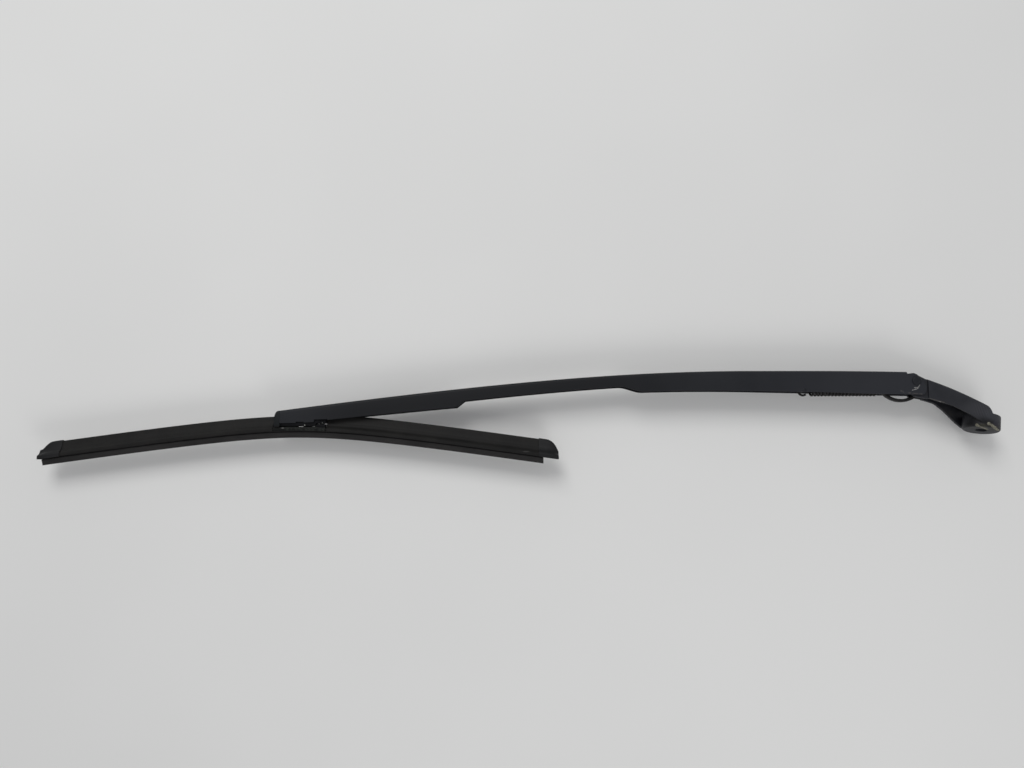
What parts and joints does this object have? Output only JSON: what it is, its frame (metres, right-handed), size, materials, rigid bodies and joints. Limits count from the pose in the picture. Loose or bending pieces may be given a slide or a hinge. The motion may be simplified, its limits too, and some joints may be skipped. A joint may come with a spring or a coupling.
{
  "type": "windscreen wiper arm with blade",
  "caption": "Pressed steel wiper arm with a cast spindle head, a spring-loaded folding hinge and a flat blade with spoilers, rubber and end caps.",
  "frame": {"origin": "centre of the spindle bore at the underside of the boss", "axes": "+Y along the hinge pin, away from the side that the picture shows; the arm runs towards -X; +Z towards the outside of the car, square to the hinge pin. The spindle axis leans 8 degrees from +Z towards +Y and 10 degrees towards +X"},
  "size_m": [0.9525, 0.0359, 0.0933],
  "materials": {
    "head_paint": "satin black paint on a cast head, worn through at the boss",
    "arm_paint": "satin black paint on pressed steel, scratched at the hinge",
    "bush_plastic": "black bearing plastic",
    "pin_steel": "plain turned steel, dulled",
    "spring_steel": "black phosphated spring steel",
    "rail_steel": "black coated spring steel",
    "connector_metal": "dark coated metal with worn edges",
    "adapter_plastic": "black moulded plastic",
    "wiper_rubber": "dull graphite-coated rubber",
    "spoiler_plastic": "dull weathered black plastic",
    "cap_plastic": "black moulded plastic"
  },
  "bodies": {
    "head": {"arm_head": "head_paint", "hinge_bush_near": "bush_plastic", "hinge_bush_far": "bush_plastic", "link_pin": "pin_steel"},
    "link": {"spring_link": "spring_steel", "tension_spring": "spring_steel"},
    "arm": {"arm_channel": "arm_paint", "hinge_rivet": "arm_paint", "spring_anchor_pin": "arm_paint", "blade_adapter": "adapter_plastic", "adapter_nose": "adapter_plastic"},
    "blade": {"connector_base": "connector_metal", "connector_cover": "adapter_plastic", "blade_pivot": "pin_steel", "rail_near": "rail_steel", "rail_far": "rail_steel", "wiper_rubber": "wiper_rubber", "spoiler_front": "spoiler_plastic", "spoiler_rear": "spoiler_plastic", "end_cap_front": "cap_plastic", "end_cap_rear": "cap_plastic"}
  },
  "joints": [
    {"name": "arm_fold", "type": "hinge", "parent": "head", "child": "arm", "pos_m": [-0.066, 0, 0.0485], "axis": [0, 1, 0], "range_deg": [0, 75]},
    {"name": "link_swing", "type": "hinge", "parent": "head", "child": "link", "pos_m": [-0.0597, 0, 0.0395], "axis": [0, 1, 0], "range_deg": [0, 70], "deforming": ["tension_spring"]},
    {"name": "blade_rock", "type": "hinge", "parent": "arm", "child": "blade", "pos_m": [-0.684, 0, 0.01204], "axis": [0, 1, 0], "range_deg": [0, 5]}
  ],
  "couplings": [
    {"joint": "link_swing", "follows": "arm_fold", "ratio": 0.905}
  ]
}
